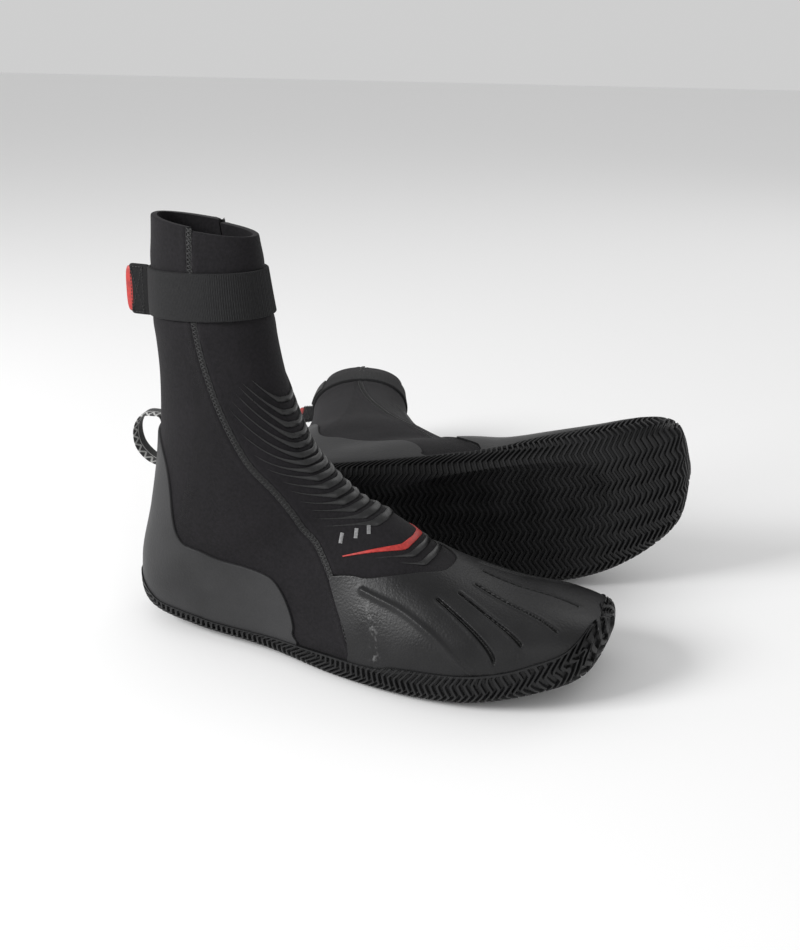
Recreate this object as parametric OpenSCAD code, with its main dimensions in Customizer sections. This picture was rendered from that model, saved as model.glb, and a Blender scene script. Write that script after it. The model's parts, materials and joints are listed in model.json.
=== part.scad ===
// A pair of neoprene surf boots: the right one stands on its sole, the left one lies on its outer side.
// Millimetres, +Z up, +X towards the right boot's toe, +Y towards its inner side.
// The origin is on the ground, under the middle of the right sole.

/* [Boot] */
// Length over the sole
boot_length = 285; // [240:1:310]
// Height of the shaft over the ground
boot_height = 242; // [200:1:280]
// Width over the ball of the foot
ball_width = 99; // [84:1:112]

/* [Layers] */
// Thickness of the neoprene panels
neoprene = 3.4; // [2.5:0.1:4]
// Thickness of the rubber cups on the heel and toe
cup_rubber = 1.4; // [1:0.1:1.5]
// Thickness of the outsole under the foot
sole_thick = 4; // [3:0.1:5]
// How far the outsole's side wall stands proud of the cups
wall_proud = 0.8; // [0.3:0.1:1.5]
// How far the instep ribs stand proud of the neoprene
rib_height = 1.6; // [0.8:0.1:2]

/* [Strap] */
// Thickness of the elastic ankle strap
strap_thick = 2; // [1.5:0.1:3]
// Length of the tab that stands free behind the ankle
tab_length = 14; // [10:1:20]
// Thickness of the hook tab
tab_thick = 2.4; // [2:0.1:3.5]

/* [Pull loop] */
// Width of the tape
tape_width = 13; // [9:1:16]
// Thickness of the tape
tape_thick = 1.6; // [1.2:0.1:2.5]

/* [Lying boot] */
// Turn of the lying boot on the ground
lying_turn = 16.5; // [5:0.5:20]
// How far its toe is raised, in degrees
lying_toe_up = 5.5; // [4:0.5:8]
// How far its shaft is raised, in degrees
lying_shaft_up = 6; // [2:0.5:8]

/* [Hidden] */

$fn = 24;
// The boot is a row of sections, from the collar (0) through the ankle and instep to the toe tip (14).
// Each gives the front or top point x, z and the back or bottom point x, z, the half widths outside and
// inside, where the widest place lies between back and front, and the roundness of the top and bottom.
SECTIONS = [
    [ 82, 235,  15, 242,  20,  18, 0.50, 2.1, 2.1],
    [ 88, 193,  14, 195,  26,  25, 0.50, 2.1, 2.1],
    [ 96, 153,  17, 153,  29,  28, 0.50, 2.1, 2.1],
    [109, 121,  15, 112,  33,  32, 0.48, 2.1, 2.1],
    [121, 107,  10,  75,  37,  36, 0.42, 2.1, 2.2],
    [133,  98,   2,  38,  38,  37, 0.36, 2.1, 2.3],
    [143,  92,   7,  10,  36,  38, 0.28, 2.1, 2.5],
    [155,  87,  40,   2,  35,  40, 0.26, 2.2, 3.0],
    [168,  80,  90,   0,  37,  41, 0.28, 2.2, 3.4],
    [185,  69, 140,  -3,  45,  43, 0.30, 2.2, 3.6],
    [206,  60, 186,  -3,  49,  48, 0.34, 2.3, 3.6],
    [229,  53, 222,  -1,  47,  50, 0.38, 2.4, 3.4],
    [254,  49, 253,   6,  39,  48, 0.42, 2.5, 3.2],
    [275,  43, 275,  15,  25,  37, 0.45, 2.5, 3.0],
    [282,  41, 283,  34,   3,   7, 0.50, 2.2, 2.2]
];
// How far each section's middle is shifted to the inner side
SHIFTS = [0, 0, 0, 0, 0, 0, 0, 0, 0, 0, 0, 2, 6, 11, 13];
// The side seam: the angle round the section at each place along the boot, from the top line
SEAM = [[0, 88], [1.2, 86], [2, 78], [3, 63], [4, 49], [5, 42], [6.2, 41], [7, 47],
        [7.7, 56], [8.4, 70], [9.1, 90]];
// The front edge of the front panel, where the toe cap overlaps it
TONGUE = [[7.7, 56], [8.1, 50], [8.4, 47], [8.75, 38], [9.15, 25], [9.6, 11], [9.75, 3]];
// The upper edge of the heel cup, from its peak to its front end
CUP_EDGE = [[2.75, 176], [2.85, 150], [3.15, 130], [3.6, 117], [4.2, 107], [4.6, 99], [5, 89], [5.4, 80],
            [6.1, 70], [6.8, 69], [7.3, 73], [7.8, 82], [8.3, 95]];
// The top of the outsole's side wall
RIM = [[5.2, 176], [5.3, 150], [5.85, 125], [6.5, 106], [7.1, 100], [8.3, 97], [9.4, 93], [10.6, 87],
       [11.8, 83], [12.5, 72], [12.85, 46], [13.15, 4], [14, 2]];
// The places of the rows of the two layers inside the sole
SOLE_PLACES = [6.4, 6.7, 7, 7.4, 7.8, 8.2, 8.8, 9.4, 10, 10.6, 11.2, 11.7, 12.2, 12.6, 12.9];

scale_x = boot_length / 285;
scale_y = ball_width / 99;
scale_z = boot_height / 242;
sole_middle = 140;      // the origin's place along the sections
cup_inner = -cup_rubber;
layer_gap = 0.35;       // clearance between layers that lie on each other
skin_outer = cup_inner - layer_gap;
skin_inner = skin_outer - neoprene;
panel_bottom = -sole_thick - layer_gap - neoprene;
footbed_thick = 3;
split = 1.5;            // the section where the shaft folds
strap_top = 0.585;
strap_bottom = 1.12;
strap_tilt = 0.065;     // the strap sits lower behind than in front
strap_inner = skin_outer + 0.3;
strap_outer = strap_inner + strap_thick;
trim_base = skin_outer + 0.4;   // where stitching, ribs and prints sit on the neoprene
seam_half = 2.6;        // half the side stitching's width, in degrees round the section
seam_gap = 0.5;         // from the seam's middle to each panel's edge, in degrees
ground_cut = 20;        // depth of the block that trims the sole flat
eps = 0.02;

// Catmull-Rom curve through a table of values, at place s
function through(p0, p1, p2, p3, t) =
    0.5 * (2 * p1 + (p2 - p0) * t + (2 * p0 - 5 * p1 + 4 * p2 - p3) * t * t
           + (3 * p1 - p0 - 3 * p2 + p3) * t * t * t);
function along(table, s) =
    let (last = len(table) - 1, i = max(0, min(floor(s), last - 1)))
    through(table[max(i - 1, 0)], table[i], table[i + 1], table[min(i + 2, last)], s - i);

function power(v, n) = sign(v) * pow(abs(v), 2 / n);

// A point of the boot's outline: s is the place along it, a the angle from the top line to the outer side
function outline(s, a) =
    let (q = along(SECTIONS, s), top = cos(a) > 0,
         up = power(cos(a), top ? q[7] : q[8]), side = power(sin(a), top ? q[7] : q[8]),
         f = q[6] + up * (top ? 1 - q[6] : q[6]), w = sin(a) > 0 ? q[4] : q[5])
    [(q[2] + f * (q[0] - q[2]) - sole_middle) * scale_x,
     (along(SHIFTS, s) - w * side) * scale_y,
     (q[3] + f * (q[1] - q[3])) * scale_z];
function grounded(p) = [p[0], p[1], max(p[2], 0)];
function last_at(s, a) = grounded(outline(s, a));

// The outward direction of a surface, from its two slopes
function outward(along_s, round_a) = let (n = cross(round_a, along_s)) n / max(norm(n), 1e-9);
// A point at a depth under (negative) or over the outline
function skin(s, a, depth) =
    last_at(s, a) + depth * outward(last_at(min(s + eps, 14), a) - last_at(s - eps, a),
                                    last_at(s, a + 1) - last_at(s, a - 1));
function under_sole(s, a) =
    outline(s, a) + wall_proud * outward(outline(min(s + eps, 14), a) - outline(s - eps, a),
                                         outline(s, a + 1) - outline(s, a - 1));

// Places on the boot are pairs [s, a]. These make the edge curves and the nets of places between them.
function mirrored(curve) = [for (p = curve) [p[0], 360 - p[1]]];
function flip(curve) = [for (i = [len(curve) - 1:-1:0]) curve[i]];
function both_sides(curve) = concat(curve, flip(mirrored(curve)));
function resample(curve, n) =
    [for (k = [0:n]) let (u = k * (len(curve) - 1) / n, i = min(floor(u), len(curve) - 2))
        curve[i] * (1 - (u - i)) + curve[i + 1] * (u - i)];
function net(top, bottom, rows) =
    [for (r = [0:rows]) [for (k = [0:len(top) - 1]) top[k] * (1 - r / rows) + bottom[k] * (r / rows)]];
// A net that runs under the boot from one side to the other
function under(curve, places, n) =
    [for (s = places) let (a = lookup(s, curve)) [for (k = [0:n]) [s, 360 - a - (360 - 2 * a) * k / n]]];

// A closed skin between two layers of points that have the same net
module closed_skin(outer, inner) {
    m = len(outer);
    n = len(outer[0]);
    flat = [for (layer = [outer, inner]) for (row = layer) for (p = row) p];
    function at(l, r, k) = l * m * n + r * n + k;
    faces = concat(
        [for (r = [0:m - 2]) for (k = [0:n - 2])
            each [[at(0, r, k), at(0, r, k + 1), at(0, r + 1, k + 1)],
                  [at(0, r, k), at(0, r + 1, k + 1), at(0, r + 1, k)],
                  [at(1, r, k), at(1, r + 1, k + 1), at(1, r, k + 1)],
                  [at(1, r, k), at(1, r + 1, k), at(1, r + 1, k + 1)]]],
        [for (r = [0:m - 2])
            each [[at(0, r, 0), at(0, r + 1, 0), at(1, r + 1, 0)],
                  [at(0, r, 0), at(1, r + 1, 0), at(1, r, 0)],
                  [at(0, r + 1, n - 1), at(0, r, n - 1), at(1, r, n - 1)],
                  [at(0, r + 1, n - 1), at(1, r, n - 1), at(1, r + 1, n - 1)]]],
        [for (k = [0:n - 2])
            each [[at(0, 0, k + 1), at(0, 0, k), at(1, 0, k)],
                  [at(0, 0, k + 1), at(1, 0, k), at(1, 0, k + 1)],
                  [at(0, m - 1, k), at(0, m - 1, k + 1), at(1, m - 1, k + 1)],
                  [at(0, m - 1, k), at(1, m - 1, k + 1), at(1, m - 1, k)]]]);
    polyhedron(flat, faces);
}
// Puts a net's rows in the order that makes its faces look outward
function facing_out(net) =
    let (r = floor(len(net) / 2) - 1, k = floor(len(net[0]) / 2) - 1, p = net[r][k],
         q = net[r][k + 1] - p, t = net[r + 1][k] - p)
    q[0] * t[1] - q[1] * t[0] > 0 ? net : flip(net);
module layer(net, inner, outer) {
    places = facing_out(net);
    closed_skin([for (row = places) [for (p = row) skin(p[0], p[1], outer)]],
                [for (row = places) [for (p = row) skin(p[0], p[1], inner)]]);
}
function lower_behind(a) = -strap_tilt * cos(a);
// A closed band right round the boot between two places, tilted as the strap is
module band(from, to, inner, outer, n) {
    corners = [[from, outer], [to, outer], [to, inner], [from, inner]];
    points = [for (k = [0:n - 1]) let (a = 360 * k / n)
        for (c = corners) skin(c[0] + lower_behind(a), a, c[1])];
    faces = [for (k = [0:n - 1]) for (c = [0:3])
        let (next = 4 * ((k + 1) % n), turn = (c + 1) % 4, a = 4 * k + c, b = 4 * k + turn,
             d = next + turn, e = next + c)
        each [[a, b, d], [a, d, e]]];
    polyhedron(points, [for (f = faces) [f[2], f[1], f[0]]]);
}

// The gap that lets the shaft fold: narrow at the sides, wide in front and behind
function fold_gap(a) = 0.035 + 0.125 * abs(cos(a));
function fold_edge(from, to, n, way) =
    [for (k = [0:n]) let (a = from + (to - from) * k / n) [split + way * fold_gap(a), a]];

module outsole() {
    places = under(RIM, [5.22, 5.32, 5.43, 5.55, 5.68, 5.82, 5.97, 6.13, 6.3, 6.55, 6.9, 7.3, 7.7, 8.2, 8.8,
                         9.4, 10, 10.6, 11.2, 11.7, 12.1, 12.5, 12.85, 13.15, 13.4, 13.7, 14], 18);
    color([0.14, 0.14, 0.14])
    difference() {
        closed_skin([for (row = places) [for (p = row) under_sole(p[0], p[1])]],
                    [for (row = places) [for (p = row)
                        skin(p[0], p[1], cos(p[1]) < -0.5 ? -sole_thick : cup_inner)]]);
        translate([-boot_length, -ball_width, -ground_cut])
            cube([2 * boot_length, 2 * ball_width, ground_cut]);
    }
}
module bottom_panel() {
    color([0.2, 0.2, 0.21])
    layer(under([[6, 128], [8, 128], [10, 122], [13, 128]], SOLE_PLACES, 10),
          panel_bottom, panel_bottom + neoprene);
}
module footbed() {
    color([0.28, 0.28, 0.3])
    layer(under([[6, 138], [8, 134], [10, 130], [13, 138]], SOLE_PLACES, 8),
          panel_bottom - layer_gap - footbed_thick, panel_bottom - layer_gap);
}
module heel_cup() {
    lower = [for (k = [0:12]) let (s = 5.1 + k * 3.15 / 12) [s, max(lookup(s, RIM) - 1.2, 92)]];
    color([0.27, 0.27, 0.28])
    layer(net(both_sides(flip(resample(CUP_EDGE, 12))), both_sides(flip(lower)), 12), cup_inner, 0);
}
module toe_cap() {
    rear = [[9.2, 86], [8.9, 84], [8.4, 71], [7.9, 58]];
    edge = concat(rear, [for (p = TONGUE) if (p[0] > 8) p - [0.12, 0]]);
    upper = both_sides(resample(edge, 10));
    lower_half = [for (k = [0:10]) let (s = 9.35 + k * 3.8 / 10) [s, max(lookup(s, RIM) - 1.2, 1)]];
    color([0.2, 0.2, 0.21])
    layer(net(over_line(upper), over_line(both_sides(lower_half)), 8), cup_inner, 0);
}
// Angles past 180 come round to the inner side as negative ones
function over_line(curve) = [for (p = curve) [p[0], p[1] > 180 ? p[1] - 360 : p[1]]];

module rear_panel_lower() {
    seam = [for (k = [0:11]) let (s = split + 0.05 + (9 - split) * k / 11) [s, lookup(s, SEAM) + seam_gap]];
    edge = fold_edge(lookup(split, SEAM) + 2, 180, 7, 1);
    top = concat(flip(seam), edge);
    low = concat([for (k = [0:11]) let (s = 9 - k * 0.2) [s, lookup(s, RIM) + 2]],
                 [for (s = [6.6, 6.25, 5.9, 5.6, 5.42, 5.28, 5.14]) [s, lookup(s, RIM) - 2]], [[5.1, 180]]);
    color([0.12, 0.11, 0.12])
    layer(net(whole(top), whole(low), 9), skin_inner - layer_gap, skin_outer - 2 * layer_gap);
}
// A half curve that ends on the back line, with its mirror image, the middle point once
function whole(curve) = concat(curve, [for (i = [len(curve) - 2:-1:0]) [curve[i][0], 360 - curve[i][1]]]);

module rear_panel_upper() {
    a0 = SEAM[0][1] + seam_gap;
    a1 = lookup(split, SEAM) + seam_gap;
    color([0.12, 0.11, 0.12])
    layer(net([for (k = [0:14]) [0, a0 + (360 - 2 * a0) * k / 14]], fold_edge(a1, 360 - a1, 14, -1), 4),
          skin_inner, skin_outer);
}
module front_panel_upper() {
    a0 = SEAM[0][1] - seam_gap;
    a1 = lookup(split, SEAM) - seam_gap;
    color([0.13, 0.12, 0.13])
    layer(net([for (k = [0:12]) [0, a0 - 2 * a0 * k / 12]], fold_edge(a1, -a1, 12, -1), 4),
          skin_inner, skin_outer);
}
module front_panel_lower() {
    function edge_at(s) = s < 7.7 ? lookup(s, SEAM) - seam_gap : lookup(s, TONGUE);
    places = [1.9, 2.15, 2.4, 2.7, 3, 3.3, 3.6, 3.9, 4.25, 4.6, 5, 5.4, 5.8, 6.2, 6.6, 7, 7.3, 7.55, 7.8, 8.1,
              8.4, 8.8, 9.2, 9.5, 9.7];
    a1 = lookup(split, SEAM) - seam_gap;
    color([0.13, 0.12, 0.13])
    layer(concat([fold_edge(a1, -a1, 12, 1)],
                 [for (s = places) [for (k = [0:12]) [s, edge_at(s) * (1 - k / 6)]]]),
          skin_inner, skin_outer);
}
// A strip of stitching over each side seam
module seam_strips(places) {
    color([0.07, 0.07, 0.08])
    for (side = [1, -1])
        layer([for (s = places) [for (d = [seam_half, -seam_half]) [s, side * (lookup(s, SEAM) + d)]]],
              trim_base, trim_base + 0.8);
}
// The stitching stops where the strap covers it
module side_seams_upper() {
    seam_strips([0.02, 0.25, 0.5]);
    seam_strips([1.2, split - 0.1]);
}
module side_seams_lower() {
    seam_strips([split + 0.1, 1.9, 2.2, 2.5, 2.8, 3.1, 3.4, 3.8, 4.2, 4.7, 5.3, 6, 6.6, 7.1, 7.6]);
}

// The instep ribs: the place of each rib's middle, the angle that its arms reach and how far they rise
RIBS = [2.2, 2.4, 2.6, 2.8, 3.0, 3.25, 3.5, 3.8, 4.15, 4.55, 5.05, 5.55, 6.1, 6.65, 7.2];
RIB_REACH = [[2.2, 41], [2.6, 54], [3.2, 64], [3.6, 58], [4.2, 46], [4.8, 39], [7.3, 35], [8.5, 40],
             [9.1, 24]];
RIB_RISE = [[2.2, 0.35], [3.2, 0.9], [4.5, 0.7], [7.3, 1.05], [8.5, 0.9], [9.1, 0.4]];
rib_knee = 14;
module rib(s, reach, rise, wide, base, height) {
    shape = [[reach, rise, 0.25], [rib_knee, 0, 1], [0, -0.08, 1], [-rib_knee, 0, 1], [-reach, rise, 0.25]];
    line = resample(shape, 12);
    layer([for (e = [-1, 1]) [for (p = line) [s - p[1] + e * wide * p[2], p[0]]]], base, base + height);
}
module instep_ribs() {
    color([0.05, 0.05, 0.06])
    for (s = concat(RIBS, [8.72, 9.06]))
        rib(s, lookup(s, RIB_REACH), lookup(s, RIB_RISE), s < 4 ? 0.055 : 0.1, trim_base, rib_height);
}
module instep_chevron() {
    color([0.72, 0.2, 0.19])
    rib(8.42, 45, 0.85, 0.1, trim_base, rib_height * 0.6);
}
// Three slanted bars, a plain mark on the outer side of the instep
module instep_emblem() {
    color([0.8, 0.8, 0.8])
    for (k = [0:2])
        layer([for (e = [0, 1]) [for (a = [32 - 5 * k, 29 - 5 * k])
                  [7.12 + 0.13 * k + 0.36 * e - 0.02 * a * e, a]]], trim_base, trim_base + 0.6);
}

module ankle_strap() {
    color([0.17, 0.17, 0.18])
    band(strap_top, strap_bottom, strap_inner, strap_outer, 28);
}
module strap_loop_patch() {
    angles = [for (k = [0:8]) 192 + 4 * k];
    color([0.1, 0.1, 0.11])
    layer(net([for (a = angles) [strap_top + 0.04 + lower_behind(a), a]],
              [for (a = angles) [strap_bottom - 0.04 + lower_behind(a), a]], 2),
          strap_outer + 0.4, strap_outer + 1.4);
}
// The tab's root, on the strap's outside at the back
tab_angle = 168;
tab_hinge = 1.7;    // how far behind the strap the tab bends
tab_root = skin((strap_top + strap_bottom) / 2 + lower_behind(tab_angle), tab_angle, strap_outer);
tab_height = norm(skin(strap_top, tab_angle, 0) - skin(strap_bottom, tab_angle, 0)) + 2;
module tab_plate(from, to, thick, height) {
    translate(tab_root + [-to, -thick / 2, -height / 2]) cube([to - from, thick, height]);
}
module hook_tab() {
    color([0.15, 0.15, 0.16])
    tab_plate(tab_hinge + 0.1, tab_length - 1.2, tab_thick, tab_height);
}
module tab_grip() {
    color([0.75, 0.2, 0.18])
    tab_plate(tab_length - 1.1, tab_length + 0.4, tab_thick, tab_height - 3);
}

// The pull loop stands out behind the heel, from its upper to its lower stitches
loop_top = skin(2.65, 180, 0.3);
loop_low = skin(3.48, 180, 0.3);
module loop_outline(grow) {
    hull() {
        translate([loop_top[0] - 6, loop_top[2] - 6]) circle(3 + grow);
        translate([loop_top[0] - 13, loop_top[2] - 8]) circle(5 + grow);
        translate([loop_low[0] - 12, loop_low[2] + 5]) circle(4 + grow);
        translate([loop_low[0] - 5.4, loop_low[2] + 3]) circle(2 + grow);
    }
}
module pull_loop() {
    color([0.1, 0.1, 0.1])
    translate([0, tape_width / 2, 0]) rotate([90, 0, 0]) linear_extrude(tape_width)
        difference() { loop_outline(tape_thick); loop_outline(0); }
}
module loop_tacks() {
    angles = [166, 173, 180, 187, 194];
    color([0.06, 0.06, 0.06]) {
        layer([for (s = [2.3, 2.46]) [for (a = angles) [s, a]]], trim_base, trim_base + 0.9);
        layer([for (s = [3.72, 3.95]) [for (a = angles) [s, a]]], 0.4, 1.3);
    }
}

// The left boot is the right one's mirror image, laid on its outer side behind it.
// It is turned about a point at ankle height over the middle of its sole.
lying_place = [11.7, 150.8, 50.2];
turning_height = 60;
module lying() {
    translate(lying_place) rotate([-90 + lying_shaft_up, -lying_toe_up, lying_turn])
        translate([0, 0, -turning_height]) mirror([0, 1, 0]) children();
}

outsole();  // right_outsole
bottom_panel();  // right_bottom_panel
footbed();  // right_footbed
heel_cup();  // right_heel_cup
toe_cap();  // right_toe_cap
rear_panel_lower();  // right_rear_panel_lower
front_panel_lower();  // right_front_panel_lower
side_seams_lower();  // right_side_seams_lower
instep_ribs();  // right_instep_ribs
instep_chevron();  // right_instep_chevron
instep_emblem();  // right_instep_emblem
pull_loop();  // right_pull_loop
loop_tacks();  // right_loop_tacks
rear_panel_upper();  // right_rear_panel_upper
front_panel_upper();  // right_front_panel_upper
side_seams_upper();  // right_side_seams_upper
ankle_strap();  // right_ankle_strap
strap_loop_patch();  // right_strap_loop_patch
hook_tab();  // right_hook_tab
tab_grip();  // right_tab_grip
lying() outsole();  // left_outsole
lying() bottom_panel();  // left_bottom_panel
lying() footbed();  // left_footbed
lying() heel_cup();  // left_heel_cup
lying() toe_cap();  // left_toe_cap
lying() rear_panel_lower();  // left_rear_panel_lower
lying() front_panel_lower();  // left_front_panel_lower
lying() side_seams_lower();  // left_side_seams_lower
lying() instep_ribs();  // left_instep_ribs
lying() instep_chevron();  // left_instep_chevron
lying() instep_emblem();  // left_instep_emblem
lying() pull_loop();  // left_pull_loop
lying() loop_tacks();  // left_loop_tacks
lying() rear_panel_upper();  // left_rear_panel_upper
lying() front_panel_upper();  // left_front_panel_upper
lying() side_seams_upper();  // left_side_seams_upper
lying() ankle_strap();  // left_ankle_strap
lying() strap_loop_patch();  // left_strap_loop_patch
lying() hook_tab();  // left_hook_tab
lying() tab_grip();  // left_tab_grip
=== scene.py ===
# %% [markdown]
# # A pair of neoprene surf boots
# The right boot stands and the left one lies on its side behind it. Every layer of a boot, from the
# insole to the strap, follows one surface: a sock drawn by a few cross sections. So this lesson first
# writes that surface as a function of two numbers, and then lays each real piece on it: panels,
# rubber cups, outsole, ribs, stitching, strap and loop.

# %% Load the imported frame
import json
import math
import bmesh
import bpy
import numpy as np
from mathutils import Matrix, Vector


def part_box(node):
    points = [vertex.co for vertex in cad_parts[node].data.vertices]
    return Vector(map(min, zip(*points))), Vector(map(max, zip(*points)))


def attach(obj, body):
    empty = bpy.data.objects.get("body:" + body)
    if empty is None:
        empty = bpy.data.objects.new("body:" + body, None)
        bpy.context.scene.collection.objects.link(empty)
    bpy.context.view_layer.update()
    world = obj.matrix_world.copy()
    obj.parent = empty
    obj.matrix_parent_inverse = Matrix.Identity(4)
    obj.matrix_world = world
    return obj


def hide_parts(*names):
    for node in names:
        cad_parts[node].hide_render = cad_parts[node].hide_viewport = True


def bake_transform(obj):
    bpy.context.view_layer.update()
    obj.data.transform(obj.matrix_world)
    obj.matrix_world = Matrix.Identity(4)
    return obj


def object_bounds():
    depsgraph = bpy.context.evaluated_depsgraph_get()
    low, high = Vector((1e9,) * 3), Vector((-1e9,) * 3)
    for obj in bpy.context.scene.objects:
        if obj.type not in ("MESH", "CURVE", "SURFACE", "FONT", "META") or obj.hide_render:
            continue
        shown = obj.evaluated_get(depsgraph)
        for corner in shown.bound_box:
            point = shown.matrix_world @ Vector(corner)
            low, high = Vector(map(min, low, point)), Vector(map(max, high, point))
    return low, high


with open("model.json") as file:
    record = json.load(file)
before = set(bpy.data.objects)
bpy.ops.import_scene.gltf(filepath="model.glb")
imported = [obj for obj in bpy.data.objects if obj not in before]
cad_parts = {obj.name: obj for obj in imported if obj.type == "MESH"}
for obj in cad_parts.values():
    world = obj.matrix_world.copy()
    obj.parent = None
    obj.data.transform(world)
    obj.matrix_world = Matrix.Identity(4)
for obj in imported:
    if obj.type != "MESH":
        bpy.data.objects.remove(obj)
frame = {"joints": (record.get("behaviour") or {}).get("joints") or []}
cad_low, cad_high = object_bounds()
MM = 0.001
print("CAD box in mm:", [round(v / MM, 1) for v in (*cad_low, *cad_high)])

# %% [markdown]
# ## The sock surface
# A last, the foot form that a maker builds on, is usually drawn as a row of cross sections. Each row
# below is one: the front or top point (x, z), the back or bottom point (x, z), the half widths on the
# outer and inner side, where the widest place lies, how round the top and the bottom are, and how far
# the section is shifted to the inner side. A Catmull-Rom curve through the rows gives all the sections
# between, and a superellipse gives the way round each one.

# %% The sections and the surface function
SECTIONS = np.array([
    [82, 235, 15, 242, 20, 18, 0.50, 2.1, 2.1, 0],
    [88, 193, 14, 195, 26, 25, 0.50, 2.1, 2.1, 0],
    [96, 153, 17, 153, 29, 28, 0.50, 2.1, 2.1, 0],
    [109, 121, 15, 112, 33, 32, 0.48, 2.1, 2.1, 0],
    [121, 107, 10, 75, 37, 36, 0.42, 2.1, 2.2, 0],
    [133, 98, 2, 38, 38, 37, 0.36, 2.1, 2.3, 0],
    [143, 92, 7, 10, 36, 38, 0.28, 2.1, 2.5, 0],
    [155, 87, 40, 2, 35, 40, 0.26, 2.2, 3.0, 0],
    [168, 80, 90, 0, 37, 41, 0.28, 2.2, 3.4, 0],
    [185, 69, 140, -3, 45, 43, 0.30, 2.2, 3.6, 0],
    [206, 60, 186, -3, 49, 48, 0.34, 2.3, 3.6, 0],
    [229, 53, 222, -1, 47, 50, 0.38, 2.4, 3.4, 2],
    [254, 49, 253, 6, 39, 48, 0.42, 2.5, 3.2, 6],
    [275, 43, 275, 15, 25, 37, 0.45, 2.5, 3.0, 11],
    [282, 41, 283, 34, 3, 7, 0.50, 2.2, 2.2, 13],
], float)
SOLE_MIDDLE = 140
LAST_SECTION = 14


def along(table, s):
    """The table's value at place s: the Catmull-Rom curve through its rows."""
    last = len(table) - 1
    row = np.clip(np.floor(s).astype(int), 0, last - 1)
    t = (s - row)[..., None]
    before, here = table[np.maximum(row - 1, 0)], table[row]
    after, beyond = table[row + 1], table[np.minimum(row + 2, last)]
    return 0.5 * (2 * here + (after - before) * t + (2 * before - 5 * here + 4 * after - beyond) * t**2
                  + (3 * here - before - 3 * after + beyond) * t**3)


def power(value, roundness):
    """A superellipse's cosine or sine: the value's size to the power 2/roundness, with its sign kept."""
    return np.sign(value) * np.abs(value) ** (2 / roundness)


def outline(s, a):
    """A point of the sock in metres. s runs from the collar (0) to the toe tip (14), and a is the angle
    from the top line, in degrees, positive to the outer side. Across a section the point goes from back
    to front by a superellipse's cosine and out by its sine, and never under the ground."""
    s, a = np.broadcast_arrays(np.asarray(s, float), np.radians(np.asarray(a, float)))
    q = along(SECTIONS, s)
    top = np.cos(a) > 0
    roundness = np.where(top, q[..., 7], q[..., 8])
    widest = q[..., 6]
    f = widest + power(np.cos(a), roundness) * np.where(top, 1 - widest, widest)
    half = np.where(np.sin(a) > 0, q[..., 4], q[..., 5])
    x = q[..., 2] + f * (q[..., 0] - q[..., 2]) - SOLE_MIDDLE
    y = q[..., 9] - half * power(np.sin(a), roundness)
    z = np.maximum(q[..., 3] + f * (q[..., 1] - q[..., 3]), 0)
    return np.stack([x, y, z], -1) * MM


def unit(v):
    """The vectors at length one."""
    return v / np.maximum(np.linalg.norm(v, axis=-1, keepdims=True), 1e-12)


def run_length(points):
    """The distance from the first point to each, added up along the line."""
    return np.concatenate([[0], np.cumsum(np.linalg.norm(np.diff(points, axis=0), axis=1))])


def facing(s, a):
    """The outward direction at a place: the cross product of the slopes round and along the sock."""
    s, a = np.broadcast_arrays(np.asarray(s, float), np.asarray(a, float))
    down = outline(np.minimum(s + 0.02, LAST_SECTION), a) - outline(s - 0.02, a)
    return unit(np.cross(outline(s, a + 1) - outline(s, a - 1), down))


def skin(s, a, depth=0.0):
    """The sock's point moved out along its facing by depth, in metres."""
    depth = np.asarray(depth, float)
    return outline(s, a) + facing(s, a) * (depth[..., None] if depth.ndim else depth)


def along_path(s, a, depth):
    """Points on the sock along a path of places, their facing, and the direction sideways of the path."""
    points, up = skin(s, a, depth), facing(s, a)
    ahead = unit(np.gradient(points, axis=0))
    return points, up, unit(np.cross(up, ahead))


print("collar front", outline(0, 0), "toe tip", outline(LAST_SECTION, 0))

# %% [markdown]
# ## Two boots from one
# The left boot is the right one's mirror image, lying down. Its place isn't typed in again: the frame
# knows where the same three joints sit on both boots. The turn and shift that carry the mirrored
# right joints onto the left ones are the best fit of two point clouds, found with a singular value
# decomposition.

# %% Where the left boot lies
MIRROR = np.array([1.0, -1.0, 1.0])
joints = {j["name"]: j for j in frame["joints"]}


def joint_points(side, turn):
    """For each of the boot's three hinges, its middle and a point 0.1 m along its axis."""
    points = []
    for name in ("shaft_fold", "strap_peel", "loop_swing"):
        joint = joints[side + "_" + name]
        middle = np.array(joint["pos_m"])
        points += [middle, middle + 0.1 * turn * np.array(joint["axis"])]
    return np.array(points)


right_points = joint_points("right", 1) * MIRROR
left_points = joint_points("left", -1)
right_middle, left_middle = right_points.mean(0), left_points.mean(0)
u_part, _, v_part = np.linalg.svd((right_points - right_middle).T @ (left_points - left_middle))
handed = np.diag([1, 1, np.sign(np.linalg.det(u_part @ v_part))])
LEFT_TURN = (u_part @ handed @ v_part).T
miss = (right_points - right_middle) @ LEFT_TURN.T + left_middle - left_points


def place(side, points):
    """Points of a standing right boot, moved to where that side's boot is."""
    points = np.asarray(points, float)
    if side == "right":
        return points
    return (points * MIRROR - right_middle) @ LEFT_TURN.T + left_middle


print("left boot placed, largest joint miss in mm:", round(float(np.abs(miss).max()) / MM, 3))

# %% [markdown]
# ## Turning nets of points into closed meshes
# A panel of rubber or neoprene has an outside, an inside and an edge all round. The helper below takes
# the outer and the inner net of points and sews them together, so that each piece is a closed shell
# that a renderer and a printer both understand. Outside and inside share one UV map that is measured
# in metres, so a weave has its real size.

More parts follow.
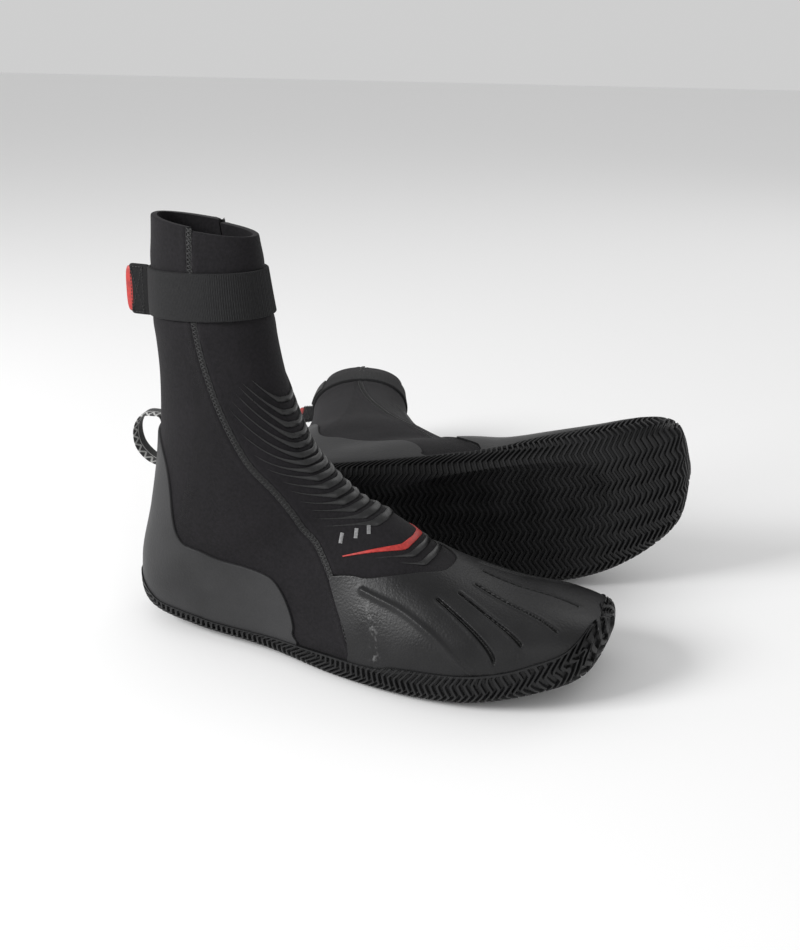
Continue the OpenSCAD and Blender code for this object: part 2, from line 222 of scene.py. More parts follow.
# %% Mesh helpers
def surface_uv(points):
    """Distances in metres across (u, from the middle column) and along (v) a net of points."""
    across = np.cumsum(np.linalg.norm(np.diff(points, axis=1, prepend=points[:, :1]), axis=2), 1)
    across -= across[:, across.shape[1] // 2, None]
    down = np.cumsum(np.linalg.norm(np.diff(points, axis=0, prepend=points[:1]), axis=2), 0)
    return np.stack([across, down], -1)


def closed_shell(outer, inner, wrap=False):
    """Vertices, faces and UV of the closed skin between two nets. wrap joins the last column to the
    first. The edge is one ring of faces from the outer net's border to the inner net's."""
    rows, columns = outer.shape[:2]
    index = np.arange(rows * columns).reshape(rows, columns)
    right = np.roll(index, -1, 1) if wrap else index[:, 1:]
    left = index if wrap else index[:, :-1]
    top = np.stack([left[:-1], right[:-1], right[1:], left[1:]], -1).reshape(-1, 4)
    if wrap:
        loops = [index[0], index[-1][::-1]]
    else:
        loops = [np.concatenate([index[0], index[1:, -1], index[-1, -2::-1], index[-2:0:-1, 0]])]
    walls = [np.stack([loop, loop + index.size, np.roll(loop, -1) + index.size, np.roll(loop, -1)], -1)
             for loop in loops]
    faces = np.concatenate([top, top[:, ::-1] + index.size, *walls])
    points = np.concatenate([outer.reshape(-1, 3), inner.reshape(-1, 3)])
    uv = surface_uv(outer).reshape(-1, 2)
    return points, faces, np.concatenate([uv, uv])


def tube(path, up, radius, sides=5):
    """A round thread along a path, closed by a cap ring at each end. up is the direction away from the
    surface at each point, and the ring is worked out from it and the path's own direction."""
    ahead = unit(np.gradient(path, axis=0))
    across = unit(np.cross(up, ahead))
    up = np.cross(ahead, across)
    turn = np.linspace(0, 2 * np.pi, sides, endpoint=False)[None, :, None]
    ring = path[:, None] + radius * (np.cos(turn) * across[:, None] + np.sin(turn) * up[:, None])
    rows = len(path)
    index = np.arange(rows * sides).reshape(rows, sides)
    around = np.roll(index, -1, 1)
    faces = np.stack([index[:-1], around[:-1], around[1:], index[1:]], -1).reshape(-1, 4)
    points = np.concatenate([ring.reshape(-1, 3), path[:1], path[-1:]])
    first = np.full(sides, rows * sides)
    caps = [np.stack([first, around[0], index[0], index[0]], -1),
            np.stack([first + 1, index[-1], around[-1], around[-1]], -1)]
    length = np.cumsum(np.linalg.norm(np.diff(path, axis=0, prepend=path[:1]), axis=1))
    uv = np.stack([np.tile(np.arange(sides) * radius, rows), np.repeat(length, sides)], -1)
    return points, np.concatenate([faces, *caps]), np.concatenate([uv, uv[:1], uv[-1:]])


def joined(parts):
    """Several (points, faces, uv) parts as one."""
    shift = np.cumsum([0] + [len(p[0]) for p in parts[:-1]])
    return (np.concatenate([p[0] for p in parts]),
            np.concatenate([p[1] + n for p, n in zip(parts, shift)]),
            np.concatenate([p[2] for p in parts]))


def make_mesh(name, side, part, material, sharp=50, **values):
    """A mesh object from a part of the standing right boot, placed on that side, its faces outward.
    Each of values is a number per vertex, kept as an attribute that the material may read."""
    points, faces, uv = part
    mesh = bpy.data.meshes.new(side + "_" + name)
    rows = [face[:3] if face[2] == face[3] else face for face in faces.tolist()]
    mesh.from_pydata(place(side, points), [], rows)
    layer = mesh.uv_layers.new(name="UVMap")
    corner = np.empty(len(mesh.loops), np.int32)
    mesh.loops.foreach_get("vertex_index", corner)
    layer.data.foreach_set("uv", uv[corner].astype(np.float32).ravel())
    for key, numbers in values.items():
        kept = mesh.attributes.new(key, "FLOAT", "POINT")
        kept.data.foreach_set("value", np.asarray(numbers, np.float32).ravel())
    shape = bmesh.new()
    shape.from_mesh(mesh)
    bmesh.ops.recalc_face_normals(shape, faces=shape.faces)
    shape.to_mesh(mesh)
    shape.free()
    mesh.polygons.foreach_set("use_smooth", np.ones(len(mesh.polygons), bool))
    mesh.set_sharp_from_angle(angle=math.radians(sharp))
    mesh.materials.append(material)
    piece = bpy.data.objects.new(side + "_" + name, mesh)
    bpy.context.scene.collection.objects.link(piece)
    return piece


def standing_for(piece, side, slot, *nodes):
    """The piece takes the place of that side's CAD nodes, which are hidden. slot is not used."""
    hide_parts(*[side + "_" + node for node in nodes])
    print(piece.name, len(piece.data.polygons), "faces")


def riding(side, body, slot, node, piece):
    """The piece moves with one body of its boot and takes the place of one CAD node."""
    standing_for(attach(piece, side + "_" + body), side, slot, node)


# %% [markdown]
# Nets of places (s, a) decide where a piece lies. A smooth curve goes through a few chosen places, and
# a net fills the room between two such curves. Points are set closer at the edges, so that an edge can
# be rolled over by lowering its outermost rows.

# %% Curves and nets of places
def curve(places, count):
    """count places spread evenly along the Catmull-Rom curve through the given ones."""
    places = np.asarray(places, float)
    return along(places, np.linspace(0, len(places) - 1, count))


def both_sides(half, turn):
    """A half curve and its mirror image, front to front. turn=360 goes round the back, 0 over the top."""
    half = np.asarray(half, float)
    other = half[::-1] * [1, -1] + [0, turn]
    return np.concatenate([half, other])


def soft_steps(count, first):
    """Steps from 0 to 1 whose first and last few are close together, and how rolled each step is."""
    close = first * np.array([0, 0.25, 0.6, 1])
    steps = np.concatenate([close, np.linspace(first, 1 - first, count)[1:-1], 1 - close[::-1]])
    rolled = np.zeros(len(steps))
    rolled[:3] = rolled[:-4:-1] = [1, 0.35, 0.08]
    return steps, rolled


def net(top, bottom, steps):
    """Places from the top curve (step 0) to the bottom curve (step 1), in straight lines."""
    step = np.asarray(steps)[:, None, None]
    return top[None] * (1 - step) + bottom[None] * step


def to_line(points, line):
    """The distance from every point to the nearest point of a line, in metres."""
    best = np.full(points.shape[:-1], np.inf)
    for spot in line:
        best = np.minimum(best, np.linalg.norm(points - spot, axis=-1))
    return best


def bump_at(distance, width):
    """One at the line, falling off as a bell of that width."""
    return np.exp(-((distance / width) ** 2))


def layer(places, outer, inner, rolled_rows, rolled_columns, roll):
    """A closed shell over a net of places. Its outer side drops by roll towards the rolled rows and
    columns, which rounds the edge."""
    drop = roll * np.maximum(rolled_rows[:, None], rolled_columns[None])
    s, a = places[..., 0], places[..., 1]
    return closed_shell(skin(s, a, outer - drop), skin(s, a, inner + np.zeros_like(s)))


# %% [markdown]
# ## Finishes
# Black gear looks rich only when its blacks differ. The knitted face of neoprene scatters light and
# has a faint sheen, moulded rubber has a satin skin with a fine grain, poured rubber ribs are glossy,
# and webbing shows its threads. Each finish is a small node tree: a colour that wanders a little, and
# a bump that gives the grain its real size. Patterns read Object coordinates, or the UV map in metres
# where they follow a tape.

# %% Node helpers
def rgb(r, g, b):
    """A colour from 0 to 255 steps of the screen's scale, as the linear values that shaders use."""
    v = np.array([r, g, b]) / 255
    return tuple(np.where(v <= 0.04045, v / 12.92, ((v + 0.055) / 1.055) ** 2.4)) + (1.0,)


class Finish:
    """A material with one Principled shader, and short calls for the nodes that feed it."""

    def __init__(self, name, roughness=0.5, **sockets):
        self.material = bpy.data.materials.new(name)
        self.material.use_nodes = True
        self.nodes = self.material.node_tree.nodes
        self.links = self.material.node_tree.links
        self.shader = next(n for n in self.nodes if n.type == "BSDF_PRINCIPLED")
        self.shader.inputs["Roughness"].default_value = roughness
        for socket, value in sockets.items():
            self.shader.inputs[socket.replace("_", " ")].default_value = value
        self.place = self.nodes.new("ShaderNodeTexCoord")

    def add(self, kind, values=(), **settings):
        """A node with these settings and input values or links."""
        node = self.nodes.new("ShaderNode" + kind)
        for key, value in settings.items():
            setattr(node, key, value)
        for key, value in dict(values).items():
            if isinstance(value, bpy.types.NodeSocket):
                self.links.new(value, node.inputs[key])
            else:
                node.inputs[key].default_value = value
        return node

    def spots(self, coordinates, scale, detail=2.0):
        """Noise whose spots are about scale metres wide."""
        vector = self.place.outputs[coordinates]
        node = self.add("TexNoise", {"Vector": vector, "Scale": 1 / scale, "Detail": detail})
        return node.outputs["Fac"]

    def waves(self, coordinates, spacing, direction, shape="SIN"):
        """Straight lines with that spacing in metres, across the X, Y or Z direction."""
        return self.add("TexWave", {"Vector": self.place.outputs[coordinates],
                                    "Scale": 2 * math.pi / spacing / 20, "Distortion": 0.0},
                        bands_direction=direction, wave_profile=shape).outputs["Fac"]

    def math(self, operation, a, b=0.0, c=0.0):
        """One step of arithmetic on sockets or numbers."""
        return self.add("Math", {0: a, 1: b, 2: c}, operation=operation).outputs[0]

    def span(self, value, low, high, to_low=0.0, to_high=1.0):
        """The value's stretch from low to high, laid onto to_low to to_high and cut off outside."""
        return self.add("MapRange", {"Value": value, "From Min": low, "From Max": high,
                                     "To Min": to_low, "To Max": to_high}).outputs["Result"]

    def mixed(self, factor, first, second):
        """A colour between two, by a factor."""
        return self.add("Mix", {0: factor, 6: first, 7: second}, data_type="RGBA").outputs[2]

    def colour(self, socket):
        """Feeds the shader's colour."""
        self.links.new(socket, self.shader.inputs["Base Color"])

    def rough(self, socket):
        """Feeds the shader's roughness."""
        self.links.new(socket, self.shader.inputs["Roughness"])

    def grain(self, *heights):
        """Stacks bumps, each a (height, depth in metres) pair."""
        normal = None
        for height, depth in heights:
            values = {"Height": height, "Distance": depth, "Strength": 1.0}
            if normal is not None:
                values["Normal"] = normal
            normal = self.add("Bump", values).outputs["Normal"]
        self.links.new(normal, self.shader.inputs["Normal"])


# %% Neoprene, lining and rubber finishes
def neoprene_finish(name, base, light):
    """Knitted jersey over foam: two crossed sets of fine ribs, mottled, with a soft sheen."""
    f = Finish(name, 0.85, Sheen_Weight=0.04, Sheen_Roughness=0.5, Specular_IOR_Level=0.2)
    mottle = f.spots("Object", 0.0016, 4.0)
    cloud = f.spots("Object", 0.03, 2.0)
    tone = f.math("ADD", f.math("MULTIPLY", mottle, 0.8), f.math("MULTIPLY", cloud, 0.35))
    f.colour(f.mixed(f.span(tone, 0.35, 0.8), rgb(*base), rgb(*light)))
    knit = f.math("MULTIPLY", f.waves("UV", 0.0009, "X"), f.waves("UV", 0.0007, "Y"))
    f.grain((cloud, 0.0006), (mottle, 0.00016), (knit, 0.00008))
    return f.material


def rubber_finish(name, base, light, roughness, grain, scuffs_and_groove_shade=False):
    """Moulded rubber: a satin skin with a leathery grain and cloudy wear. Where the piece's wear
    attribute is high, pale scuffs show, and within half a millimetre of a groove's line the colour is
    painted near black: painted shade in the groove."""
    f = Finish(name, roughness, Specular_IOR_Level=0.3)
    cloud = f.spots("Object", 0.025, 3.0)
    fine = f.spots("Object", 0.0012, 3.0)
    tone = f.math("ADD", f.math("MULTIPLY", cloud, 0.9), f.math("MULTIPLY", fine, 0.25))
    colour = f.mixed(f.span(tone, 0.4, 0.75), rgb(*base), rgb(*light))
    if scuffs_and_groove_shade:
        worn = f.add("Attribute", attribute_name="wear", attribute_type="GEOMETRY").outputs["Fac"]
        away = f.add("Attribute", attribute_name="groove", attribute_type="GEOMETRY").outputs["Fac"]
        scratch = f.span(f.spots("Object", 0.0035, 5.0), 0.52, 0.66)
        colour = f.mixed(f.math("MULTIPLY", worn, scratch), colour, rgb(112, 112, 112))
        # Near black within about half a millimetre of each groove's line: painted shade on the groove
        # floors, not a dye of the rubber.
        colour = f.mixed(f.span(away, 0.45, 0.65, 1.0, 0.0), colour, rgb(4, 4, 4))
    f.colour(colour)
    f.rough(f.span(cloud, 0.3, 0.7, roughness - 0.07, roughness + 0.08))
    pores = f.add("TexVoronoi", {"Vector": f.place.outputs["Object"], "Scale": 1 / grain},
                  feature="SMOOTH_F1").outputs["Distance"]
    f.grain((fine, 0.00012), (pores, 0.0001), *([(f.span(away, 0.3, 1.0), 0.0006)] if scuffs_and_groove_shade else []))
    return f.material


NEOPRENE = neoprene_finish("neoprene_jersey", (14, 13, 15), (28, 26, 29))
HEEL_RUBBER = rubber_finish("heel_rubber", (37, 37, 38), (48, 48, 49), 0.52, 0.0011)
TOE_RUBBER = rubber_finish("toe_rubber", (16, 16, 17), (27, 27, 28), 0.42, 0.0012, scuffs_and_groove_shade=True)
SOLE_RUBBER = rubber_finish("outsole_rubber", (16, 16, 17), (30, 30, 31), 0.5, 0.0009)
FOAM = rubber_finish("footbed_foam", (46, 46, 48), (62, 62, 64), 0.85, 0.0008)
print("rubbers:", [m.name for m in (HEEL_RUBBER, TOE_RUBBER, SOLE_RUBBER, FOAM)])

# %% Poured rubber, prints, thread and webbing finishes
def plain_finish(name, base, light, roughness, spot, depth, **sockets):
    """One colour that wanders a little over spots of that size, with a bump of that depth."""
    f = Finish(name, roughness, **sockets)
    spots = f.spots("Object", spot, 4.0)
    f.colour(f.mixed(f.span(spots, 0.35, 0.65), rgb(*base), rgb(*light)))
    f.rough(f.span(spots, 0.3, 0.7, roughness * 0.8, roughness * 1.25))
    f.grain((spots, depth))
    return f.material


RIB_RUBBER = plain_finish("poured_rib_rubber", (12, 12, 13), (24, 24, 25), 0.33, 0.002, 0.00012,
                          Specular_IOR_Level=0.45)
RED_PRINT = plain_finish("red_print", (146, 32, 29), (176, 46, 40), 0.45, 0.002, 0.0001)
PALE_PRINT = plain_finish("pale_print", (96, 96, 97), (128, 128, 129), 0.5, 0.0015, 0.00003)
THREAD = plain_finish("seam_thread", (8, 8, 9), (24, 24, 25), 0.5, 0.0006, 0.00005, Sheen_Weight=0.1)


def webbing_finish(name, base, light, along_yarn, across_yarn, depth):
    """Woven tape: yarns both ways at their real spacing, bumped and painted lighter where they rise, a
    painted highlight.
    """
    f = Finish(name, 0.8, Sheen_Weight=0.03, Specular_IOR_Level=0.2)
    ribs = f.waves("UV", along_yarn, "X")
    picks = f.waves("UV", across_yarn, "Y")
    weave = f.math("ADD", f.math("MULTIPLY", ribs, 0.65), f.math("MULTIPLY", picks, 0.35))
    fuzz = f.spots("Object", 0.0012, 4.0)
    tone = f.math("ADD", f.math("MULTIPLY", weave, 0.45), f.math("MULTIPLY", fuzz, 0.55))
    # The colour is lighter where the weave rises: a painted highlight on the yarn crests.
    f.colour(f.mixed(f.span(tone, 0.3, 0.75), rgb(*base), rgb(*light)))
    f.grain((weave, depth), (fuzz, 0.0001))
    return f.material


STRAP_ELASTIC = webbing_finish("strap_elastic", (20, 20, 21), (38, 38, 39), 0.00095, 0.0006, 0.0001)
TAB_WEBBING = webbing_finish("tab_webbing", (16, 16, 17), (34, 34, 35), 0.0008, 0.0008, 0.00015)
LOOP_PILE = plain_finish("loop_pile", (12, 12, 13), (26, 26, 28), 0.95, 0.0008, 0.0006, Sheen_Weight=0.1)


def patterned_tape(name):
    """Black tape with a pale woven zigzag between two border lines. The pattern is drawn from the UV map:
    v runs along the tape and u across it, both counted in repeats of 5.2 mm."""
    f = Finish(name, 0.6, Sheen_Weight=0.1)
    uv = f.add("SeparateXYZ", {0: f.place.outputs["UV"]})
    repeat = 0.0052
    along_tape = f.math("PINGPONG", f.math("DIVIDE", uv.outputs[1], repeat), 0.5)
    across_tape = f.math("ABSOLUTE", f.math("DIVIDE", uv.outputs[0], repeat))
    cross = f.math("ABSOLUTE", f.math("SUBTRACT", along_tape, f.math("MULTIPLY", across_tape, 0.55)))
    arms = f.math("LESS_THAN", cross, 0.13)
    inside = f.math("LESS_THAN", across_tape, 0.95)
    border = f.math("COMPARE", across_tape, 1.12, 0.06)
    pale = f.math("MAXIMUM", f.math("MULTIPLY", arms, inside), border)
    yarn = f.math("MULTIPLY", f.waves("UV", 0.0007, "X"), f.waves("UV", 0.0006, "Y"))
    white = f.mixed(yarn, rgb(170, 170, 168), rgb(224, 224, 222))
    black = f.mixed(yarn, rgb(20, 20, 21), rgb(44, 44, 46))
    f.colour(f.mixed(pale, black, white))
    f.grain((yarn, 0.0002))
    return f.material


LOOP_TAPE = patterned_tape("patterned_tape")
print(len(bpy.data.materials), "materials")

# %% [markdown]
# ## The neoprene panels
# The sock is sewn from two pieces: a front panel over shin and instep, and a rear panel round heel and
# calf. They meet at the side seams. The strap presses a shallow waist into both, and they swell a
# little next to the seam.

# %% Edges of the panels and layer depths
SEAM = [[0, 88], [1.2, 86], [2, 79], [3, 63], [4, 48.5], [5, 43], [6.2, 42.5], [7, 48], [7.7, 57], [8.4, 70],
        [9.1, 90]]
TONGUE = [[7.7, 57], [8.15, 53], [8.4, 49.5], [8.75, 39], [9.15, 27.5], [9.6, 14], [9.75, 5]]
RIM = [[5.2, 176], [5.3, 150], [5.7, 128], [6.05, 118], [6.45, 109], [7.1, 106], [7.7, 103], [8.3, 98],
       [8.8, 93], [9.4, 91], [10, 88], [11.1, 86], [11.8, 83], [12.5, 72], [12.85, 46], [13.15, 4], [14, 2]]
# Depths are counted outward from the sock surface, which is the cups' outside. SEAM_GAP is in degrees,
# and SEAM_END, TONGUE_TIP and the strap's edges are places along the sock.
CUP = 1.4 * MM
NEOPRENE_THICK = 3.4 * MM
SKIN_OUT = -CUP - 0.2 * MM
SKIN_IN = SKIN_OUT - NEOPRENE_THICK
CUP_INSIDE, CUP_OUTSIDE = SKIN_OUT + 0.1 * MM, -0.05 * MM
PANEL_ROLL, CUP_ROLL = 0.6 * MM, 0.7 * MM
SEAM_GAP = 0.6
SEAM_END = 9.1
TONGUE_TIP = 9.75
STRAP_TOP, STRAP_BOTTOM, STRAP_TILT = 0.585, 1.12, 0.065
SIDES = ("right", "left")


def angle_on(line, s):
    """The angle of a line of places at each s: a smooth curve through its points."""
    line = np.asarray(line, float)
    fine = curve(line, 12 * len(line))
    return np.interp(s, fine[:, 0], fine[:, 1])


def seam_line(side_sign):
    """Points of the side seam on the neoprene."""
    s = np.linspace(0, SEAM_END, 220)
    return skin(s, side_sign * angle_on(SEAM, s), SKIN_OUT)


def panel_depth(places):
    """The panels' outer depth: pinched along the side seams, pressed in under the strap, and lifted
    just above and below it."""
    s, a = places[..., 0], places[..., 1]
    points = skin(s, a, SKIN_OUT)
    level = s + STRAP_TILT * np.cos(np.radians(a))
    near = np.minimum(to_line(points, seam_line(1)[::2]), to_line(points, seam_line(-1)[::2]))
    pinch = -0.5 * MM * bump_at(near, 2.0 * MM) + 0.35 * MM * bump_at(near - 3.4 * MM, 1.8 * MM)
    middle, half = (STRAP_TOP + STRAP_BOTTOM) / 2, (STRAP_BOTTOM - STRAP_TOP) / 2
    under = 1 / (1 + (np.abs(level - middle) / half) ** 12)
    lift = bump_at(np.abs(level - middle) - half - 0.12, 0.12)
    return SKIN_OUT + pinch - 0.25 * MM * under + 0.35 * MM * lift


def bend_with_shaft(piece):
    """The piece's placement is baked into its mesh. It is not bent at the fold."""
    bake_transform(piece)


# %% Front and rear panels
def front_panel():
    """Rows of places across the front, from one side edge to the other, down to the tongue's tip."""
    steps, rolled_rows = soft_steps(150, 0.006)
    first = 0.07
    s = first + (TONGUE_TIP - first) * steps
    edge = np.where(s < TONGUE[0][0], angle_on(SEAM, s) - SEAM_GAP, angle_on(TONGUE, s))
    across, rolled_columns = soft_steps(70, 0.015)
    places = np.stack([np.repeat(s[:, None], len(across), 1), edge[:, None] * (1 - 2 * across)], -1)
    return layer(places, panel_depth(places), SKIN_IN, rolled_rows, rolled_columns, PANEL_ROLL)


def rear_panel():
    """A net from the seam and collar, right round the back, down to the rim of the outsole."""
    seam_s = np.linspace(SEAM_END, 0, 110)
    seam = np.stack([seam_s, angle_on(SEAM, seam_s) + SEAM_GAP], -1)
    collar = np.stack([np.zeros(60), np.linspace(SEAM[0][1] + SEAM_GAP, 180, 60)], -1)[1:]
    rim_s = np.linspace(SEAM_END, 6.6, 110)
    front_rim = np.stack([rim_s, angle_on(RIM, rim_s) + 3], -1)
    back_rim = curve([[6.6, 108], [6.1, 121], [5.75, 135], [5.4, 155], [5.3, 180]], 60)[1:]
    half_top = np.concatenate([seam, collar])
    half_low = np.concatenate([front_rim, back_rim])
    top, low = [np.delete(both_sides(half, 360), len(half), 0) for half in (half_top, half_low)]
    steps, rolled_rows = soft_steps(110, 0.008)
    places = net(top, low, steps)
    return layer(places, panel_depth(places), SKIN_IN, rolled_rows, np.zeros(len(top)), PANEL_ROLL)


panels = {"front_panel": (front_panel(), ["front_panel_lower", "front_panel_upper"]),
          "rear_panel": (rear_panel(), ["rear_panel_lower", "rear_panel_upper"])}
for side in SIDES:
    for name, (part, nodes) in panels.items():
        piece = make_mesh(name, side, part, NEOPRENE)
        bend_with_shaft(piece)
        standing_for(piece, side, "neoprene", *nodes)

# %% [markdown]
# ## Side stitching
# A wetsuit seam is glued and then sewn with a flat stitch that goes to and fro across the joint. Seen
# close it is a narrow ladder of slanted threads. One long thread does it: its place along the seam
# grows steadily while it swings from side to side, and a second thread lies straight along each edge.

# %% Stitch the side seams
SEAM_WIDTH = 3.0 * MM
STITCH_PITCH = 2.2 * MM
STEPS_PER_STITCH = 8
THREAD_RADIUS = 0.26 * MM
EDGE_RADIUS = 0.24 * MM


def evenly(line, start, end, spacing):
    """The places from start to end that are that many metres apart along the line."""
    s = np.linspace(start, end, 600)
    points = skin(s, angle_on(line, s), SKIN_OUT)
    length = run_length(points)
    return np.interp(np.arange(0, length[-1], spacing), length, s)


def seam_stitching(sign):
    """The ladder thread and its two edge threads over one side seam, joined to a thin bed of thread."""
    line = np.array(SEAM) * [1, sign]
    s = evenly(line, 0.03, 9.0, STITCH_PITCH / STEPS_PER_STITCH)
    points, up, sideways = along_path(s, angle_on(line, s), SKIN_OUT - 0.15 * MM)
    phase = np.arange(len(s)) / STEPS_PER_STITCH
    swing = 2 * np.abs(2 * (phase - np.floor(phase + 0.5))) - 1
    lean = unit(np.gradient(points, axis=0)) * (0.55 * MM * swing)[:, None]
    height = 0.55 * MM * (1 - 0.6 * swing**4)
    ladder = points + sideways * (swing * SEAM_WIDTH / 2)[:, None] + lean + up * height[:, None]
    threads = [tube(ladder, up, THREAD_RADIUS)]
    for edge in (-0.5, 0.5):
        wobble = 0.12 * MM * np.sin(phase * 2 * math.pi * 0.5)
        path = points + sideways * (edge * SEAM_WIDTH + wobble)[:, None] + up * 0.3 * MM
        threads.append(tube(path[::3], up[::3], EDGE_RADIUS))
    bed = np.linspace(-0.5, 0.5, 7) * SEAM_WIDTH
    top = points[::3, None] + sideways[::3, None] * bed[None, :, None] + up[::3, None] * 0.02 * MM
    threads.append(closed_shell(top, top - up[::3, None] * 0.5 * MM))
    return joined(threads)


stitching = joined([seam_stitching(1), seam_stitching(-1)])
for side in SIDES:
    piece = make_mesh("side_stitching", side, stitching, THREAD, sharp=80)
    bend_with_shaft(piece)
    standing_for(piece, side, "seam_thread", "side_seams_lower", "side_seams_upper")

# %% [markdown]
# ## Heel cup and toe cap
# Both cups are thin rubber shells, pressed hot onto the neoprene. The heel cup sweeps down from a peak
# at the back to a low front end. The toe cap wraps the forefoot and has moulded details: five grooves
# that fan out over the toes and a crease along the outer side. They are true relief here: every point
# of the net is lowered by its distance to the nearest groove, and raised along the crease.

# %% Heel cup
CUP_EDGE = [[2.75, 176], [2.85, 150], [3.15, 130], [3.6, 117], [4.2, 107], [4.6, 99], [5, 89], [5.4, 80],
            [6.1, 70], [6.8, 69], [7.3, 73], [7.8, 82], [8.3, 95]]


def heel_cup():
    """A net from the cup's edge, round the back, down to just under the outsole's wall."""
    columns = 260
    top = curve(both_sides(CUP_EDGE[::-1], 360), columns)
    rim_s = np.linspace(8.35, 5.15, 40)
    low_half = np.stack([rim_s, np.maximum(angle_on(RIM, rim_s) + 2, 96)], -1)
    low = curve(both_sides(low_half, 360), columns)
    steps, rolled_rows = soft_steps(70, 0.012)
    places = net(top, low, steps)
    depth = np.full(places.shape[:2], CUP_OUTSIDE)
    return layer(places, depth, CUP_INSIDE, rolled_rows, np.zeros(columns), CUP_ROLL)


# %% Toe cap with its grooves and crease
GROOVES = [([9.8, 34], [11.3, 72]), ([10.15, 22], [11.7, 57]), ([10.35, 8], [12.3, 39]),
           ([10.3, -6], [12.5, -1]), ([10.1, -20], [12.0, -34])]
GROOVE_DEPTH, GROOVE_HALF, GROOVE_LIP = 0.9 * MM, 0.7 * MM, 0.3 * MM
CREASE = [[8.45, 55], [9.3, 53], [10.15, 62], [10.95, 83]]
CREASE_HEIGHT, CREASE_WIDTH = 1.4 * MM, 1.8 * MM
TOE_EDGE = [[9.1, 94], [8.98, 88.5], [8.75, 79.5], [8.4, 71.5], [8.05, 64.5], [7.76, 58.5], [7.84, 55.5],
            [8.08, 51.5], [8.33, 48], [8.66, 38], [9.03, 26.5], [9.48, 13], [9.6, 5]]
TOE_COLUMNS = 390


def evenly_spread(top, low, count):
    """count columns of the net between two edges, as far apart as each other halfway between the edges:
    the length along the middle line is summed, and equal shares of it are looked up on both edges."""
    middle = skin((top[:, 0] + low[:, 0]) / 2, (top[:, 1] + low[:, 1]) / 2, 0)
    reach = run_length(middle)
    shares = np.linspace(0, reach[-1], count)
    return [np.stack([np.interp(shares, reach, edge[:, k]) for k in (0, 1)], -1) for edge in (top, low)]


def seen_from_above(points, start, end):
    """The distance of points from the straight line start to end, measured on the ground plan: each
    point's foot on the line is found by a dot product and kept between the ends."""
    line = (end - start)[:2]
    offset = points[..., :2] - start[:2]
    share = np.clip(offset @ line / (line @ line), 0, 1)
    return np.linalg.norm(offset - share[..., None] * line, axis=-1)


def toe_cap():
    """A net over the top from the cap's rear edge to the outsole's wall, carved by the grooves.
    Returns the shell, a wear value per vertex, and its distance to the nearest groove in millimetres."""
    rim_s = np.linspace(9.2, 13.2, 60)
    low_half = np.stack([rim_s, angle_on(RIM, rim_s) + 2], -1)
    top, low = [curve(both_sides(half, 0), 2000) for half in (TOE_EDGE, low_half)]
    top, low = evenly_spread(top, low, TOE_COLUMNS)
    steps, rolled_rows = soft_steps(122, 0.008)
    places = net(top, low, steps)
    s, a = places[..., 0], places[..., 1]
    points = skin(s, a, 0)
    depth = np.full(s.shape, CUP_OUTSIDE)
    nearest = np.full(s.shape, 5 * MM)
    for start, end in GROOVES:
        nearest = np.minimum(nearest, seen_from_above(points, skin(*start), skin(*end)))
    depth -= GROOVE_DEPTH * np.exp(-((nearest / GROOVE_HALF) ** 4))
    depth += GROOVE_LIP * bump_at(nearest - 1.5 * MM, GROOVE_HALF)
    line = curve(CREASE, 120)
    away = to_line(points, skin(line[:, 0], line[:, 1]))
    depth += CREASE_HEIGHT * bump_at(away, CREASE_WIDTH)
    shell = layer(places, depth, CUP_INSIDE, rolled_rows, np.zeros(TOE_COLUMNS), CUP_ROLL)
    worn_line = curve([[8.75, 60], [9.0, 68], [9.25, 78], [9.4, 88]], 60)
    worn = 0.7 * bump_at(to_line(points, skin(worn_line[:, 0], worn_line[:, 1])), 2.2 * MM)
    return shell, np.concatenate([worn, worn]).ravel(), np.concatenate([nearest, nearest]).ravel() / MM


heel = heel_cup()
toe, toe_wear, to_groove = toe_cap()
for side in SIDES:
    riding(side, "foot", "heel_rubber", "heel_cup", make_mesh("heel_cup_shell", side, heel, HEEL_RUBBER))
    # The groove distance also sets where the toe rubber paints shade along the grooves.
    riding(side, "foot", "toe_rubber", "toe_cap",
           make_mesh("toe_cap_shell", side, toe, TOE_RUBBER, wear=toe_wear, groove=to_groove))

# %% [markdown]
# ## The outsole
# The tread is a herringbone: fine ribs that zigzag across the sole and climb its wall. A square net
# would cut each slanted rib into stairs. So the net itself is sheared along the zigzag: its rows are
# moved forward and back by the zigzag first, and then a rib's height depends on the row only, which
# keeps every edge crisp with few points.

# %% Build the outsole
TREAD_PITCH = 3.8 * MM
ZIGZAG = 7.2 * MM
WALL_PROUD = 0.8 * MM
SOLE_THICK = 4 * MM
SOLE_COLUMNS = 117
TREAD_DEPTH = 1.7 * MM
ZIGZAG_REACH = 4.2 * MM
RIM_START = 5.22


